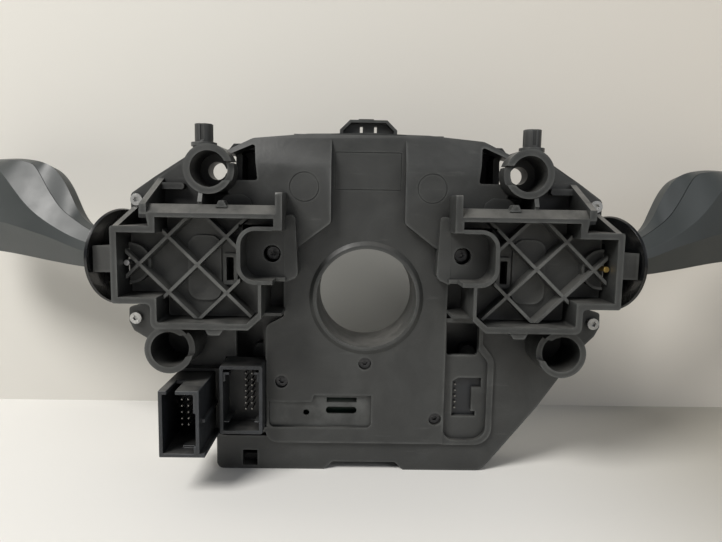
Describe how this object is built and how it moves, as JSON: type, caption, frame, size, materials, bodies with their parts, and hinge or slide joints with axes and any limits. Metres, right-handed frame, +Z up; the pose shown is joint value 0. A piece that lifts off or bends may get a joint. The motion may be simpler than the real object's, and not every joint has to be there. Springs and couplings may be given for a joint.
{
  "type": "airbag clock spring",
  "caption": "Steering column switch module with a built-in airbag clock spring, two folding levers, ribbed switch trays, sockets and a central bore.",
  "frame": {"origin": "centre of the column bore at the plane of the rear centre face", "axes": "+X to the turn lever, +Y along the steering axis towards the steering wheel, +Z up"},
  "size_m": [0.417, 0.0893, 0.1486],
  "materials": {
    "housing_black": "matte glass-filled plastic",
    "module_black": "matte plastic",
    "connector_dark": "matte plastic",
    "connector_light": "matte plastic",
    "connector_yellow": "matte plastic",
    "component_black": "moulded components",
    "board_green": "solder mask",
    "case_grey": "matte plastic",
    "ribbon_film": "polyester film",
    "cam_white": "acetal",
    "switch_black": "satin",
    "grip_grey": "satin soft grain",
    "disc_gloss": "gloss",
    "pin_tin": "tin plated",
    "pin_steel": "ground steel",
    "pin_brass": "brass",
    "screw_zinc": "zinc plated",
    "screw_dark": "dark zinc"
  },
  "bodies": {
    "housing": {"rear_housing": "housing_black", "front_housing": "housing_black", "circuit_board": "board_green", "board_components": "component_black", "power_connector": "connector_dark", "data_connector": "connector_dark", "service_connector": "connector_dark", "power_pins": "pin_tin", "data_pins": "pin_tin", "service_pins": "pin_tin", "corner_screws": "screw_zinc", "module_screws": "screw_dark", "cover_screws": "screw_dark", "locating_posts": "housing_black", "trim_latch": "housing_black", "spring_case": "case_grey", "case_screws": "screw_dark", "ribbon_cable": "ribbon_film", "wiper_module_base": "module_black", "wiper_module_case": "module_black", "wiper_pivot_pin": "pin_steel", "turn_module_base": "module_black", "turn_module_case": "module_black", "turn_pivot_pin": "pin_brass"},
    "rotor": {"rotor_hub": "case_grey", "rotor_plate": "case_grey", "cancel_cam": "cam_white", "wheel_connector": "connector_light", "wheel_pins": "pin_tin", "airbag_sockets": "connector_yellow"},
    "cancel_pawl_body": {"cancel_pawl": "cam_white"},
    "wiper_rocker_body": {"wiper_rocker": "cam_white", "wiper_hinge_pin": "pin_steel"},
    "wiper_lever": {"wiper_lever_core": "module_black", "wiper_dust_disc": "disc_gloss", "wiper_grip_rear": "grip_grey", "wiper_grip_front": "grip_grey", "wiper_wheel_axle": "pin_steel"},
    "wiper_button": {"wiper_tip_button": "switch_black"},
    "wiper_plunger": {"wiper_detent_plunger": "pin_brass"},
    "turn_rocker_body": {"turn_rocker": "cam_white", "turn_hinge_pin": "pin_steel"},
    "turn_lever": {"turn_lever_core": "module_black", "turn_dust_disc": "disc_gloss", "turn_grip_rear": "grip_grey", "turn_grip_front": "grip_grey", "turn_rocker_pin": "pin_steel"},
    "turn_button": {"turn_tip_button": "switch_black"},
    "turn_plunger": {"turn_detent_plunger": "pin_brass"},
    "wiper_wheel": {"wiper_thumbwheel": "switch_black"},
    "turn_menu_key": {"turn_menu_rocker": "switch_black"}
  },
  "joints": [
    {"name": "rotor_spin", "type": "hinge", "parent": "housing", "child": "rotor", "pos_m": [0, 0.03, 0], "axis": [0, 1, 0], "range_deg": [-900, 900]},
    {"name": "cancel_pawl_slide", "type": "slide", "parent": "housing", "child": "cancel_pawl_body", "axis": [1, 0, 0], "range_m": [0, 0.003], "stiffness_N_per_m": 150},
    {"name": "wiper_tilt", "type": "hinge", "parent": "housing", "child": "wiper_rocker_body", "pos_m": [-0.0922, 0.0025, 0.015], "axis": [0, 1, 0], "range_deg": [-6, 6]},
    {"name": "wiper_pull", "type": "hinge", "parent": "wiper_rocker_body", "child": "wiper_lever", "pos_m": [-0.0922, 0.0025, 0.015], "axis": [0, 0, 1], "range_deg": [-5, 0], "stiffness_Nm_per_rad": 3},
    {"name": "wiper_button_press", "type": "slide", "parent": "wiper_lever", "child": "wiper_button", "axis": [0.8988, -0.4384, 0], "range_m": [0, 0.0015], "stiffness_N_per_m": 600},
    {"name": "wiper_detent_slide", "type": "slide", "parent": "wiper_lever", "child": "wiper_plunger", "axis": [-1, 0, 0], "range_m": [0, 0.0012], "stiffness_N_per_m": 500},
    {"name": "turn_tilt", "type": "hinge", "parent": "housing", "child": "turn_rocker_body", "pos_m": [0.0922, 0.0025, 0.015], "axis": [0, 1, 0], "range_deg": [-6, 6]},
    {"name": "turn_pull", "type": "hinge", "parent": "turn_rocker_body", "child": "turn_lever", "pos_m": [0.0922, 0.0025, 0.015], "axis": [0, 0, 1], "range_deg": [-4, 5], "stiffness_Nm_per_rad": 3},
    {"name": "turn_button_press", "type": "slide", "parent": "turn_lever", "child": "turn_button", "axis": [-0.8988, -0.4384, 0], "range_m": [0, 0.0015], "stiffness_N_per_m": 600},
    {"name": "turn_detent_slide", "type": "slide", "parent": "turn_lever", "child": "turn_plunger", "axis": [1, 0, 0], "range_m": [0, 0.0012], "stiffness_N_per_m": 500},
    {"name": "wiper_wheel_turn", "type": "hinge", "parent": "wiper_lever", "child": "wiper_wheel", "pos_m": [-0.17483, 0.04201, 0.0386], "axis": [-0.8988, 0.4384, 0], "range_deg": [-50, 50]},
    {"name": "turn_menu_rock", "type": "hinge", "parent": "turn_lever", "child": "turn_menu_key", "pos_m": [0.18409, 0.04653, 0.0498], "axis": [-0.4384, 0.8988, 0], "range_deg": [-5, 5], "stiffness_Nm_per_rad": 0.4}
  ]
}
